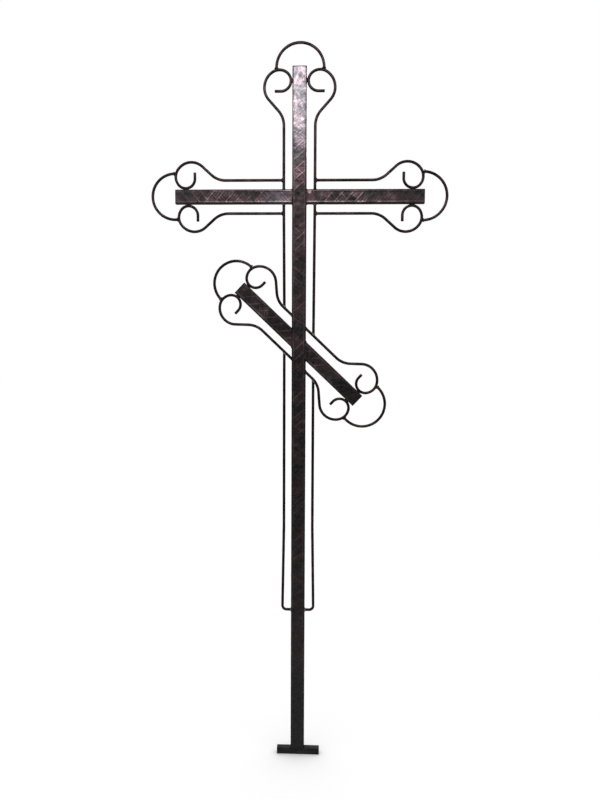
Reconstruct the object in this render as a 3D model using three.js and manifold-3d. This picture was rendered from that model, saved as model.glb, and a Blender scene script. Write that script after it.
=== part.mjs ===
// A wrought iron grave cross with three bars: an upright, a level arm and a slanted foot bar.
// The bars are rectangular steel tube. Bent round rods follow them, curl into scrolls at the five
// free ends and are closed there by half-round arcs. The upright is welded to a short ground bar.
// Millimetres. +Z is up, +X is to the viewer's right and -Y is the front. The origin is the centre
// of the upright on the underside of the ground bar, where the cross is set in the ground.
import * as THREE from "three";
import { mergeVertices } from "three/addons/utils/BufferGeometryUtils.js";
import Module from "manifold-3d";

// Clearance left between two pieces that are welded together
const GAP = 0.3;

// Rectangular tube of the bars
const TUBE_WIDTH = 40;
const TUBE_DEPTH = 20;
const TUBE_WALL = 2;
const TUBE_CORNER = 3.5;
const CAP_THICKNESS = 2;

// Heights and lengths of the bars
const ARM_HEIGHT = 1641;
const TOP_LENGTH = 350;
const ARM_LENGTH = 348;
const SLANT_DROP = 411.7;
const SLANT_LENGTH = 232.3;
const SLANT_ANGLE = THREE.MathUtils.degToRad(43.5);

// Ground bar, a piece of open square tube across the foot of the upright, set a little to the right
const GROUND_BAR_LENGTH = 126;
const GROUND_BAR_SIDE = 20;
const GROUND_BAR_CORNER = 2.5;
const GROUND_BAR_ASIDE = 2;

// Round rods and their distance from the middle of the bar they follow
const ROD = 8;
const TOP_ROD_OFFSET = 43.5;
const ARM_ROD_OFFSET = 45.5;
const SLANT_UPPER_ROD_OFFSET = 46.6;
const SLANT_LOWER_ROD_OFFSET = 43.4;
const LOWER_ROD_OFFSET = 41.5;

// The rods under the slanted bar: the height of their returns, and how they flare towards them
const LOWER_RODS_DROP = 1194;
const LOWER_BEND_RADIUS = 12;
const FLARE = 3.8;
const FLARE_LENGTH = 240;
const FLARE_RADIUS = 500;

// A scroll, in the order of its bends from the straight rod to the tip of its tail
const SWAY_RADIUS = 60;
const SWAY_ANGLE = THREE.MathUtils.degToRad(42);
const OUTER_RADIUS = 46;
const TOP_OUTER_RADIUS = 49;
const OUTER_ANGLE = THREE.MathUtils.degToRad(102);
const MIDDLE_RADIUS = 34;
const MIDDLE_ANGLE = THREE.MathUtils.degToRad(71);
const INNER_RADIUS = 26;
const TOP_INNER_RADIUS = 27.7;
const TAIL_LENGTH = 17;
const SLANT_TAIL_LENGTH = 12;

// How far back the crests of the scrolls are from the end of their bar
const TOP_CREST_INSET = 52;
const ARM_CREST_INSET = 51.5;
const SLANT_CREST_INSET = 36.3;

// Half-round arcs and how far the centre of one is beyond the end of its bar
const ARC_RADIUS = 64.2;
const ARM_ARC_BEYOND = -0.5;
const SLANT_ARC_BEYOND = 15.3;

// Facets of the rods and of the tube's corners
const ROD_SIDES = 10;
const BEND_STEP = THREE.MathUtils.degToRad(14);
const CORNER_FACETS = 4;

const wasm = await Module();
wasm.setup();

// Steel as painted: the patterned tube, the plain rods and the plain ground bar
const finishes = {
  tube: { color: 0x34282b, roughness: 0.42, metalness: 0.75 },
  rod: { color: 0x241d1f, roughness: 0.45, metalness: 0.7 },
  ground: { color: 0x17161a, roughness: 0.5, metalness: 0.6 },
};

function piece(name, geometry, finish) {
  const mesh = new THREE.Mesh(geometry, new THREE.MeshStandardMaterial(finishes[finish]));
  mesh.name = name;
  return mesh;
}

function solidOf(geometry) {
  const bare = new THREE.BufferGeometry();
  bare.setAttribute("position", geometry.getAttribute("position"));
  const merged = mergeVertices(bare, 1e-3);
  return new wasm.Manifold(
    new wasm.Mesh({
      numProp: 3,
      vertProperties: merged.attributes.position.array,
      triVerts: new Uint32Array(merged.index.array),
    }),
  );
}

function geometryOf(solid) {
  const mesh = solid.getMesh();
  const geometry = new THREE.BufferGeometry();
  geometry.setAttribute("position", new THREE.BufferAttribute(mesh.vertProperties, 3));
  geometry.setIndex(new THREE.BufferAttribute(mesh.triVerts, 1));
  geometry.computeVertexNormals();
  return geometry;
}

// The part of a geometry that lies beyond a plane, on the side that its normal points to
function cutBack(geometry, normal, offset) {
  return geometryOf(solidOf(geometry).trimByPlane(normal.toArray(), offset));
}

function roundedRectangle(path, width, depth, radius) {
  const x = width / 2 - radius;
  const y = depth / 2 - radius;
  path.absarc(x, y, radius, 0, Math.PI / 2);
  path.absarc(-x, y, radius, Math.PI / 2, Math.PI);
  path.absarc(-x, -y, radius, Math.PI, 1.5 * Math.PI);
  path.absarc(x, -y, radius, 1.5 * Math.PI, 2 * Math.PI);
  path.closePath();
  return path;
}

// A tube along +X from one distance to another, or its cap, its width along Z and its depth along Y
function bar(from, to, hollow, width = TUBE_WIDTH, depth = TUBE_DEPTH, corner = TUBE_CORNER) {
  const section = roundedRectangle(new THREE.Shape(), width, depth, corner);
  if (hollow) {
    const innerWidth = width - 2 * TUBE_WALL;
    const innerDepth = depth - 2 * TUBE_WALL;
    const innerCorner = corner - TUBE_WALL;
    section.holes.push(roundedRectangle(new THREE.Path(), innerWidth, innerDepth, innerCorner));
  }
  const geometry = new THREE.ExtrudeGeometry(section, {
    depth: to - from,
    bevelEnabled: false,
    curveSegments: CORNER_FACETS / 2,
  });
  return geometry.rotateY(Math.PI / 2).translate(from, 0, 0);
}

// The centre line of a rod in the XZ plane, drawn by going straight and bending
class RodLine extends THREE.Curve {
  constructor(x, z, heading) {
    super();
    this.at = new THREE.Vector3(x, 0, z);
    this.heading = heading;
    this.stations = [];
    this.mark();
  }

  mark() {
    const tangent = new THREE.Vector3(Math.cos(this.heading), 0, Math.sin(this.heading));
    this.stations.push({ point: this.at.clone(), tangent });
    return tangent;
  }

  straight(length) {
    this.at.addScaledVector(this.stations.at(-1).tangent, length);
    this.mark();
    return this;
  }

  // A positive angle bends to the left as seen from the front, a negative one to the right
  bend(radius, angle) {
    const steps = Math.ceil(Math.abs(angle) / BEND_STEP);
    const turn = angle / steps;
    const chord = 2 * radius * Math.sin(Math.abs(turn) / 2);
    for (let i = 0; i < steps; i++) {
      const way = this.heading + turn / 2;
      this.at.x += chord * Math.cos(way);
      this.at.z += chord * Math.sin(way);
      this.heading += turn;
      this.mark();
    }
    return this;
  }

  station(u) {
    return this.stations[Math.round(u * (this.stations.length - 1))];
  }

  getPointAt(u) {
    return this.station(u).point.clone();
  }

  getTangentAt(u) {
    return this.station(u).tangent.clone();
  }

  rod(radius = ROD / 2) {
    const section = new THREE.Shape().absarc(0, 0, radius, 0, 2 * Math.PI);
    return new THREE.ExtrudeGeometry(section, {
      extrudePath: this,
      steps: this.stations.length - 1,
      curveSegments: ROD_SIDES / 2,
    });
  }
}

// Where a piece starts that butts against the side of a bar or of a rod beside the upright
const besideUpright = TUBE_WIDTH / 2 + GAP;
const besideRod = TOP_ROD_OFFSET + ROD / 2 + GAP;

// How far the middle of a rod is from the middle of the bar that it rests against
const touching = (TUBE_WIDTH + ROD) / 2 + GAP;

// How far a scroll has turned past its crest by the end of its outer and of its middle bend
const afterOuter = OUTER_ANGLE - SWAY_ANGLE;
const afterMiddle = afterOuter + MIDDLE_ANGLE;

// The crest of a scroll is as far out as lets its inner turn rest against the side of the bar
function crestOffset(end) {
  return (
    touching +
    end.outerRadius * (1 - Math.cos(afterOuter)) +
    MIDDLE_RADIUS * (Math.cos(afterOuter) - Math.cos(afterMiddle)) +
    end.innerRadius * (1 + Math.cos(afterMiddle))
  );
}

// How far out along its bar the crest of a scroll is. Each was bent a few millimetres off the rest.
function crestAt(end, side) {
  return end.barLength - end.crestInset + end.hand[side];
}

// A scroll rod on one side of a bar that runs along +X, from a start to the tip of its tail
function scrollLine(end, side, from) {
  const radii = SWAY_RADIUS + end.outerRadius;
  const rise = radii * (1 - Math.cos(SWAY_ANGLE));
  const diagonal = (crestOffset(end) - end.rodOffset[side] - rise) / Math.sin(SWAY_ANGLE);
  const run = radii * Math.sin(SWAY_ANGLE) + diagonal * Math.cos(SWAY_ANGLE);
  const swayStart = crestAt(end, side) - run;
  return new RodLine(from, side * end.rodOffset[side], 0)
    .straight(swayStart - from)
    .bend(SWAY_RADIUS, side * SWAY_ANGLE)
    .straight(diagonal)
    .bend(end.outerRadius, -side * OUTER_ANGLE)
    .bend(MIDDLE_RADIUS, -side * MIDDLE_ANGLE)
    .bend(end.innerRadius, -side * (1.5 * Math.PI - afterMiddle))
    .straight(end.tailLength);
}

// The angle at which an arc's end meets the back of a scroll, from the bar's own direction
function arcEnd(end, side) {
  const { radius, beyond, aside } = end.arc;
  const spread = end.outerRadius - MIDDLE_RADIUS;
  const turnX = crestAt(end, side) + spread * Math.sin(afterOuter) - end.barLength - beyond;
  const turnZ = crestOffset(end) - end.outerRadius + spread * Math.cos(afterOuter) - side * aside;
  const away = Math.hypot(turnX, turnZ);
  const reach = MIDDLE_RADIUS + ROD / 2 + GAP;
  const tilt = (radius ** 2 + reach ** 2 - away ** 2) / (2 * radius * reach);
  const clear = reach + (ROD / 2) * Math.abs(tilt);
  const between = (radius ** 2 + away ** 2 - clear ** 2) / (2 * radius * away);
  return Math.atan2(turnZ, turnX) - Math.acos(between);
}

function arc(end) {
  const { radius, beyond, aside } = end.arc;
  const first = arcEnd(end, -1);
  const last = arcEnd(end, 1);
  const x = end.barLength + beyond + radius * Math.cos(first);
  const z = aside - radius * Math.sin(first);
  return new RodLine(x, z, Math.PI / 2 - first).bend(radius, first + last).rod();
}

// The free ends. Each has its bar along the local +X, turned by its direction in the XZ plane. Its
// left side is at +1 and its right side at -1, as seen from the front when looking out along the
// bar. A rod with no start of its own is cut back to the side of the upright. The arcs were bent
// and set by hand, so they differ by a few millimetres.
const armAxis = new THREE.Vector3(0, 0, ARM_HEIGHT);
const slantAxis = new THREE.Vector3(0, 0, ARM_HEIGHT - SLANT_DROP);
const ends = [
  {
    name: "top",
    sides: { 1: "left", "-1": "right" },
    origin: armAxis,
    direction: Math.PI / 2,
    barLength: TOP_LENGTH,
    rodStart: besideUpright,
    rodOffset: { 1: TOP_ROD_OFFSET, "-1": TOP_ROD_OFFSET },
    outerRadius: TOP_OUTER_RADIUS,
    innerRadius: TOP_INNER_RADIUS,
    tailLength: TAIL_LENGTH,
    crestInset: TOP_CREST_INSET,
    hand: { 1: -3, "-1": -2.5 },
    arc: { radius: ARC_RADIUS + 1.4, beyond: ARM_ARC_BEYOND - 1.4, aside: -1.4 },
  },
  {
    name: "left_arm",
    sides: { 1: "lower", "-1": "upper" },
    origin: armAxis,
    direction: Math.PI,
    barLength: ARM_LENGTH,
    rodStart: besideRod,
    rodOffset: { 1: ARM_ROD_OFFSET, "-1": ARM_ROD_OFFSET },
    outerRadius: OUTER_RADIUS,
    innerRadius: INNER_RADIUS,
    tailLength: TAIL_LENGTH,
    crestInset: ARM_CREST_INSET,
    hand: { 1: -1, "-1": 6.5 },
    arc: { radius: ARC_RADIUS - 0.9, beyond: ARM_ARC_BEYOND + 2.5, aside: -1.2 },
  },
  {
    name: "right_arm",
    sides: { 1: "upper", "-1": "lower" },
    origin: armAxis,
    direction: 0,
    barLength: ARM_LENGTH,
    rodStart: besideRod,
    rodOffset: { 1: ARM_ROD_OFFSET, "-1": ARM_ROD_OFFSET },
    outerRadius: OUTER_RADIUS,
    innerRadius: INNER_RADIUS,
    tailLength: TAIL_LENGTH,
    crestInset: ARM_CREST_INSET,
    hand: { 1: 2.5, "-1": 0.5 },
    arc: { radius: ARC_RADIUS + 1.9, beyond: ARM_ARC_BEYOND - 3.6, aside: 1.9 },
  },
  {
    name: "slant_upper",
    sides: { 1: "lower", "-1": "upper" },
    origin: slantAxis,
    direction: Math.PI - SLANT_ANGLE,
    barLength: SLANT_LENGTH,
    rodOffset: { 1: SLANT_LOWER_ROD_OFFSET, "-1": SLANT_UPPER_ROD_OFFSET },
    outerRadius: OUTER_RADIUS,
    innerRadius: INNER_RADIUS,
    tailLength: SLANT_TAIL_LENGTH,
    crestInset: SLANT_CREST_INSET,
    hand: { 1: 5, "-1": 4.5 },
    arc: { radius: ARC_RADIUS - 1.3, beyond: SLANT_ARC_BEYOND - 0.4, aside: -2.5 },
  },
  {
    name: "slant_lower",
    sides: { 1: "upper", "-1": "lower" },
    origin: slantAxis,
    direction: -SLANT_ANGLE,
    barLength: SLANT_LENGTH,
    rodOffset: { 1: SLANT_UPPER_ROD_OFFSET, "-1": SLANT_LOWER_ROD_OFFSET },
    outerRadius: OUTER_RADIUS,
    innerRadius: INNER_RADIUS,
    tailLength: SLANT_TAIL_LENGTH,
    crestInset: SLANT_CREST_INSET,
    hand: { 1: 2.5, "-1": -3 },
    arc: { radius: ARC_RADIUS + 0.7, beyond: SLANT_ARC_BEYOND + 0.7, aside: 2.7 },
  },
];

// The side of the upright that an end's bar butts against, as a direction in the end's own frame
function awayFromUpright(end) {
  const across = Math.cos(end.direction);
  const along = -Math.sign(across) * Math.sin(end.direction);
  return new THREE.Vector3(Math.abs(across), 0, along);
}

// An arm or half of the slanted bar, with its cap
function barPieces(end) {
  const capStart = end.barLength - CAP_THICKNESS;
  const tube = cutBack(bar(0, capStart - GAP, true), awayFromUpright(end), besideUpright);
  const cap = bar(capStart, end.barLength, false);
  return [piece(end.name + "_bar", tube, "tube"), piece(end.name + "_cap", cap, "tube")];
}

function scrollPiece(end, side) {
  const name = end.name + "_scroll_" + end.sides[side];
  if (end.rodStart) return piece(name, scrollLine(end, side, end.rodStart).rod(), "rod");
  const away = awayFromUpright(end);
  const start = (besideUpright - side * end.rodOffset[side] * away.z) / away.x - ROD;
  return piece(name, cutBack(scrollLine(end, side, start).rod(), away, besideUpright), "rod");
}

function endGroup(end) {
  const group = new THREE.Group();
  group.position.copy(end.origin);
  group.rotation.y = -end.direction;
  for (const side of [1, -1]) group.add(scrollPiece(end, side));
  group.add(piece(end.name + "_arc", arc(end), "rod"));
  if (end.name !== "top") group.add(...barPieces(end));
  return group;
}

// The upright, from the ground bar to the cap on its top
function upright() {
  const group = new THREE.Group();
  group.rotation.y = -Math.PI / 2;
  const top = ARM_HEIGHT + TOP_LENGTH;
  const capStart = top - CAP_THICKNESS;
  group.add(piece("upright", bar(GROUND_BAR_SIDE + GAP, capStart - GAP, true), "tube"));
  group.add(piece("top_cap", bar(capStart, top, false), "tube"));
  return group;
}

function groundBar() {
  const from = GROUND_BAR_ASIDE - GROUND_BAR_LENGTH / 2;
  const to = GROUND_BAR_ASIDE + GROUND_BAR_LENGTH / 2;
  const tube = bar(from, to, true, GROUND_BAR_SIDE, GROUND_BAR_SIDE, GROUND_BAR_CORNER);
  return piece("ground_bar", tube.translate(0, 0, GROUND_BAR_SIDE / 2), "ground");
}

// Takes something from an end's own frame to the frame of the cross
function placement(end) {
  return new THREE.Matrix4().makeRotationY(-end.direction).setPosition(end.origin);
}

// A rod's solid with its end cut to the round of the slant rod that it lands on
function coped(solid, end, side) {
  const cutter = scrollLine(end, side, 0).rod(ROD / 2 + GAP).applyMatrix4(placement(end));
  return geometryOf(solid.subtract(solidOf(cutter)));
}

// The height at which the centre line of a slant rod passes a distance from the middle
function slantRodHeight(x, end, side) {
  const { stations } = scrollLine(end, side, 0);
  const points = stations.map(({ point }) => point.clone().applyMatrix4(placement(end)));
  const next = points.findIndex((point) => Math.sign(x) * point.x > Math.abs(x));
  const [before, after] = [points[next - 1], points[next]];
  return before.z + ((after.z - before.z) * (x - before.x)) / (after.x - before.x);
}

// The straight rod between the arm's underside and the slant rod under it
function middleRod(name, out, end, side) {
  const top = ARM_HEIGHT - besideUpright;
  const foot = slantRodHeight(out * LOWER_ROD_OFFSET, end, side);
  const lean = Math.atan2(TOP_ROD_OFFSET - LOWER_ROD_OFFSET, top - foot);
  const line = new RodLine(out * LOWER_ROD_OFFSET, foot, Math.PI / 2 - out * lean);
  const rod = solidOf(line.straight((top - foot) / Math.cos(lean) + ROD).rod());
  return piece(name, coped(rod.trimByPlane([0, 0, -1], -top), end, side), "rod");
}

// The rod under the slanted bar, down to its return, which is welded to the side of the upright
function lowerRod(name, out, end, side) {
  const bottom = ARM_HEIGHT - LOWER_RODS_DROP;
  const top = slantRodHeight(out * LOWER_ROD_OFFSET, end, side);
  const lean = Math.atan2(FLARE, FLARE_LENGTH);
  const widest = LOWER_ROD_OFFSET + FLARE - LOWER_BEND_RADIUS * Math.cos(lean);
  const line = new RodLine(out * besideUpright, bottom, out > 0 ? 0 : Math.PI);
  line.straight(widest - besideUpright).bend(LOWER_BEND_RADIUS, out * (Math.PI / 2 + lean));
  const inwards = Math.abs(line.at.x) - LOWER_ROD_OFFSET - FLARE_RADIUS * (1 - Math.cos(lean));
  line.straight(inwards / Math.sin(lean)).bend(FLARE_RADIUS, -out * lean);
  const rod = solidOf(line.straight(top - line.at.z).rod());
  return piece(name, coped(rod, end, side), "rod");
}

const cross = new THREE.Group();
cross.add(upright(), groundBar());
for (const end of ends) cross.add(endGroup(end));
const [slantUpper, slantLower] = ends.slice(-2);
cross.add(middleRod("left_middle_rod", -1, slantUpper, -1));
cross.add(middleRod("right_middle_rod", 1, slantLower, 1));
cross.add(lowerRod("left_lower_rod", -1, slantUpper, 1));
cross.add(lowerRod("right_lower_rod", 1, slantLower, -1));

export default cross;
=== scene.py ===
"""The looks of a wrought iron grave cross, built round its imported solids.

+Z is up, +X to the viewer's right and -Y the front. Sizes are millimetres unless they say
otherwise, as in the part's source, and become metres when a mesh is made.
"""

import math

import bpy
import numpy as np
from mathutils import Matrix, Vector


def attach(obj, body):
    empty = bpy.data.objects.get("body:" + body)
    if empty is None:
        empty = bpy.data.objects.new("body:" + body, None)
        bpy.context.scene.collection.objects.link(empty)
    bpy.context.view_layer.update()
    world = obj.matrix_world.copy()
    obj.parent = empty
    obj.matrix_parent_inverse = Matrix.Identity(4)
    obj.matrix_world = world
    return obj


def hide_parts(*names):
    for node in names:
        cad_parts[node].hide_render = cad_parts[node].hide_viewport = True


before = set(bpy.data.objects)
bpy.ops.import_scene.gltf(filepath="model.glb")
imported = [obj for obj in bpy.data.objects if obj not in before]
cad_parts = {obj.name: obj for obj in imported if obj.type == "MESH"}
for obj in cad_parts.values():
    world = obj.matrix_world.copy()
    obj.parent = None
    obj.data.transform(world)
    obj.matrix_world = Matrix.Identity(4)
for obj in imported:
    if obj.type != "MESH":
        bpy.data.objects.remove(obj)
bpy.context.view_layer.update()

MM = 0.001

# Sizes that the solids have too
GAP = 0.3
TUBE_WIDTH = 40
TUBE_DEPTH = 20
TUBE_WALL = 2
TUBE_CORNER = 3.5
CAP_THICKNESS = 2
ARM_HEIGHT = 1641
TOP_LENGTH = 350
ARM_LENGTH = 348
SLANT_HEIGHT = 1229.3
SLANT_LENGTH = 232.3
SLANT_ANGLE = math.radians(43.5)
GROUND_BAR_LENGTH = 126
GROUND_BAR_SIDE = 20
GROUND_BAR_CORNER = 2.5
GROUND_BAR_ASIDE = 2
ROD = 8
TOP_ROD_OFFSET = 43.5
ARM_ROD_OFFSET = 45.5
SLANT_UPPER_ROD_OFFSET = 46.6
SLANT_LOWER_ROD_OFFSET = 43.4
LOWER_ROD_OFFSET = 41.5
RETURN_HEIGHT = 447
LOWER_BEND_RADIUS = 12
FLARE = 3.8
FLARE_LENGTH = 240
FLARE_RADIUS = 500
SWAY_RADIUS = 60
SWAY_ANGLE = math.radians(42)
OUTER_RADIUS = 46
TOP_OUTER_RADIUS = 49
OUTER_ANGLE = math.radians(102)
MIDDLE_RADIUS = 34
MIDDLE_ANGLE = math.radians(71)
INNER_RADIUS = 26
TOP_INNER_RADIUS = 27.7
TAIL_LENGTH = 17
SLANT_TAIL_LENGTH = 12
TOP_CREST_INSET = 52
ARM_CREST_INSET = 51.5
SLANT_CREST_INSET = 36.3
ARC_RADIUS = 64.2
ARM_ARC_BEYOND = -0.5
SLANT_ARC_BEYOND = 15.3

ABOVE_GROUND_BAR = GROUND_BAR_SIDE + GAP
BESIDE_UPRIGHT = TUBE_WIDTH / 2 + GAP
BESIDE_ROD = TOP_ROD_OFFSET + ROD / 2 + GAP
TOUCHING = (TUBE_WIDTH + ROD) / 2 + GAP
AFTER_OUTER = OUTER_ANGLE - SWAY_ANGLE
AFTER_MIDDLE = AFTER_OUTER + MIDDLE_ANGLE

# Fineness of the meshes
ROD_SIDES = 16
STRAIGHT_STEP = 8
STRAIGHT_REACH = 120
BEND_STEP = math.radians(4)
FACE_STEPS = 27
SIDE_STEPS = 5
CORNER_STEPS = 5
RELIEF_STEP = 1.6
PLAIN_STEP = 15
PLAIN_MARGIN = 40
FLAT_STEPS = 8
CAP_FACE_STEPS = 10
SHARP_ANGLE = math.radians(50)

# Seeds of the unevenness: the first one for each kind of piece
UPRIGHT_SEED = 10
BAR_SEED = 40
GROUND_BAR_SEED = 77
SCROLL_SEED = 200
ARC_SEED = 300
MIDDLE_ROD_SEED = 400
LOWER_ROD_SEED = 410
ROD_WELD_SEED = 501
SPOT_SEED = 540
FOOT_WELD_SEED = 560
END_WELD_SEED = 600
BAR_WELD_SEED = 900

# Noise: the numbers that turn the corner of a cell into one of NOISE_LEVELS values
NOISE_PRIMES = np.array([374761393, 668265263, 1274126177], np.int64)
NOISE_SEED_PRIME = 15731
NOISE_MIX = 1103515245
NOISE_LEVELS = 0x10000
NOISE_SEED_SHIFT = 7.31

# Rods as forged: the bevel of a tip, and the sizes of their lumps, each with its height
ROD_CHAMFER = 0.7
ROD_LUMPS = ((7, 0.084), (21, 0.056))

# The ground bar's sawn ends: how far their edge is taken off, and its inset in the middle
SAWN_BEVEL = 0.5
SAWN_ROUNDING = 0.15

# The plates on the bars' ends, as levels down from the top with how far the outline is set in
CAP_LEVELS = ((CAP_THICKNESS, 0.4), (CAP_THICKNESS - 0.4, 0), (0.8, 0), (0.25, 0.25), (0, 0.8))

# The pattern rolled into the tubes: crossing ridges and a hatch in the fields between them, on a
# panel that is sunk inside a border, with dents all over
RIDGE_LEAN = math.radians(41)
RIDGE_PITCH = 21
RIDGE_HALF = 1.1
RIDGE_HEIGHT = 0.34
HATCHES = 3
HATCH_HALF = 0.9
HATCH_HEIGHT = 0.18
PANEL_DEPTH = 0.35
BORDER_AT = 14.4
BORDER_HALF = 0.8
BORDER_HEIGHT = 0.2
PANEL_EDGE = (BORDER_AT - 1.5, BORDER_AT + 0.3)
DENT_DEPTH = 0.22
DENT_SIZE = 13
SIDE_DENT = 0.1
SIDE_DENT_SIZE = 9

# How far the ridges drift, how faint the strong ones get, and how high the weak ones are
DRIFT = 1.6
DRIFT_SIZE = 70
STRONG_LEAST = 0.08
WEAK_SHARE = 0.8

# The patches in which each kind is clear: their size, and from which to which noise it clears
STRONG_PATCH = (42, -0.35, 0.45)
WEAK_PATCH = (36, -0.15, 0.65)
HATCH_PATCH = (34, 0.0, 0.6)

# Where the pattern starts on the upright, and how it fades in there, with an edge that wanders
PATTERN_FROM = 248
START_FADE = (-25, 70)
START_WANDER = 14
WANDER_SIZE = 20

# The relief is on the flat part of the wide faces, and levels out towards the ends of a tube
FLAT_FACING = (0.75, 1.0)
LEVEL_START = 5
LEVEL_STOP = 3

# Distances from the outer end of a bar: where the pattern fades by half, on the upright and on the
# others, and where the upright's ridges are all clear
UPRIGHT_FADE = (275, 130)
BAR_FADE = (70, 35)
FADED = 0.5
CLEAR_FROM = (350, 310)
CLEAR_TO = (160, 120)

# How much of the copper tone is rubbed over each bar, at heights on the upright and at distances
# from its middle on the others, partly real rubbing and partly painted light: it is set so that
# each part is as bright as it is lit, and fades towards the bottom of the upright as painted
# shade. From
# 1 to 2 the rubbing becomes an even polish, which is partly a painted sheen where the metal
# mirrors the light.
TINTS_AND_LIGHT = {
    "upright": (
        (263, 0.12), (813, 0.14), (1113, 0.3), (1413, 0.5), (1633, 0.85), (1713, 1.1), (1860, 2.0)
    ),
    "left_arm": ((20, 1.5), (80, 1.5), (112, 1.0), (256, 1.0), (310, 1.2)),
    "right_arm": ((256, 1.0), (306, 0.4)),
    "slant_upper": ((110, 0.4), (170, 0.9), (230, 1.1)),
    "slant_lower": ((142, 0.4), (190, 0.2)),
}

# Camera: where it stands in metres, its yaw, pitch and roll in radians, and its lens
CAMERA_PLACE = (0.0941, -2.1421, 1.2918)
CAMERA_TURNS = (-0.042, 0.103, -0.004)
CAMERA_LENS = 33.75


def new_object(name, data):
    item = bpy.data.objects.new(name, data)
    bpy.context.scene.collection.objects.link(item)
    return item


def add_camera():
    yaw, pitch, roll = CAMERA_TURNS
    flat = math.cos(pitch)
    forward = Vector((math.sin(yaw) * flat, math.cos(yaw) * flat, -math.sin(pitch)))
    level = Vector((math.cos(yaw), -math.sin(yaw), 0))
    down = forward.cross(level)
    right = math.cos(roll) * level + math.sin(roll) * down
    up = math.sin(roll) * level - math.cos(roll) * down
    camera = new_object("camera", bpy.data.cameras.new("camera"))
    camera.data.lens = CAMERA_LENS
    turn = Matrix((right, up, -forward)).transposed().to_4x4()
    camera.matrix_world = Matrix.Translation(CAMERA_PLACE) @ turn
    bpy.context.scene.camera = camera


# Surroundings: a pale floor, whose half side is in metres, and white air all round, as the camera
# sees it, as it lights the metal, and as the metal mirrors it from the front and from behind
FLOOR_HALF = 14
FLOOR_SHADE = (0.962, 0.962, 0.962, 1)
SEEN_AIR = 1.0
LIGHTING_AIR = 1.075
MIRRORED_AIR = 1.6
MIRRORED_AIR_BEHIND = 0.7
BEHIND = (-0.3, 0.6)

# How bright the air is in a mirror, from straight down at 0 to straight up at 1
MIRRORED_SHADES = (
    (0.20, 0.16), (0.29, 0.48), (0.32, 0.32), (0.35, 0.08), (0.40, 0.015), (0.44, 0.03),
    (0.48, 0.13), (0.53, 0.18), (0.555, 0.20), (0.58, 0.27), (0.60, 0.36), (0.62, 0.44),
    (0.65, 0.65), (0.71, 0.60), (0.77, 0.12), (1.00, 0.06),
)


def add_world():
    """Even white light, with air that is white to the camera and graded in what mirrors it."""
    world = bpy.data.worlds.new("studio")
    bpy.context.scene.world = world
    world.use_nodes = True
    world.node_tree.nodes.clear()
    add, link = world.node_tree.nodes.new, world.node_tree.links.new
    path = add("ShaderNodeLightPath")
    split = add("ShaderNodeSeparateXYZ")
    link(add("ShaderNodeTexCoord").outputs["Generated"], split.inputs[0])
    height = add("ShaderNodeMapRange")
    height.inputs["From Min"].default_value = -1
    link(split.outputs["Z"], height.inputs["Value"])
    shades = add("ShaderNodeValToRGB")
    stops = shades.color_ramp.elements
    while len(stops) < len(MIRRORED_SHADES):
        stops.new(0.5)
    for stop, (position, shade) in zip(stops, MIRRORED_SHADES):
        stop.position = position
        stop.color = (shade, shade, shade, 1)
    link(height.outputs["Result"], shades.inputs["Fac"])
    behind = add("ShaderNodeMapRange")
    behind.inputs["From Min"].default_value, behind.inputs["From Max"].default_value = BEHIND
    behind.inputs["To Min"].default_value = MIRRORED_AIR
    behind.inputs["To Max"].default_value = MIRRORED_AIR_BEHIND
    link(split.outputs["Y"], behind.inputs["Value"])
    mirrored = add("ShaderNodeMath")
    mirrored.operation = "MULTIPLY"
    link(shades.outputs["Color"], mirrored.inputs[0])
    link(behind.outputs["Result"], mirrored.inputs[1])
    seen = add("ShaderNodeMix")
    seen.inputs["A"].default_value = LIGHTING_AIR
    seen.inputs["B"].default_value = SEEN_AIR
    link(path.outputs["Is Camera Ray"], seen.inputs["Factor"])
    mixed = add("ShaderNodeMix")
    link(path.outputs["Is Glossy Ray"], mixed.inputs["Factor"])
    link(seen.outputs["Result"], mixed.inputs["A"])
    link(mirrored.outputs[0], mixed.inputs["B"])
    background = add("ShaderNodeBackground")
    link(mixed.outputs["Result"], background.inputs["Color"])
    link(background.outputs[0], add("ShaderNodeOutputWorld").inputs["Surface"])


def add_floor():
    mesh = bpy.data.meshes.new("floor")
    a = FLOOR_HALF
    mesh.from_pydata([(-a, -a, 0), (a, -a, 0), (a, a, 0), (-a, a, 0)], [], [(0, 1, 2, 3)])
    floor = new_object("floor", mesh)
    floor.visible_glossy = False
    paint = bpy.data.materials.new("floor")
    paint.use_nodes = True
    shader = paint.node_tree.nodes["Principled BSDF"]
    shader.inputs["Base Color"].default_value = FLOOR_SHADE
    shader.inputs["Roughness"].default_value = 0.9
    shader.inputs["Specular IOR Level"].default_value = 0.1
    mesh.materials.append(paint)


# Softboxes: the place, aim and size in metres, and the power in watts
SOFTBOXES = {
    "front_softbox": ((-0.09, -2.2, 2.713), (0.0, 0.0, 1.913), (0.8, 0.62), 15),
    "back_softbox": ((0.2, 2.4, 2.713), (0.0, 0.0, 1.713), (1.2, 0.9), 16),
}


def add_softbox(name, place, aim, size, watts):
    """A panel of light that shows in the metal, and neither to the camera nor on the floor."""
    light = bpy.data.lights.new(name, "AREA")
    light.shape = "RECTANGLE"
    light.size, light.size_y = size
    light.energy = watts
    holder = new_object(name, light)
    turn = (Vector(aim) - Vector(place)).to_track_quat("-Z", "Y")
    holder.matrix_world = Matrix.Translation(place) @ turn.to_matrix().to_4x4()
    holder.visible_camera = False
    holder.visible_diffuse = False


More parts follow.
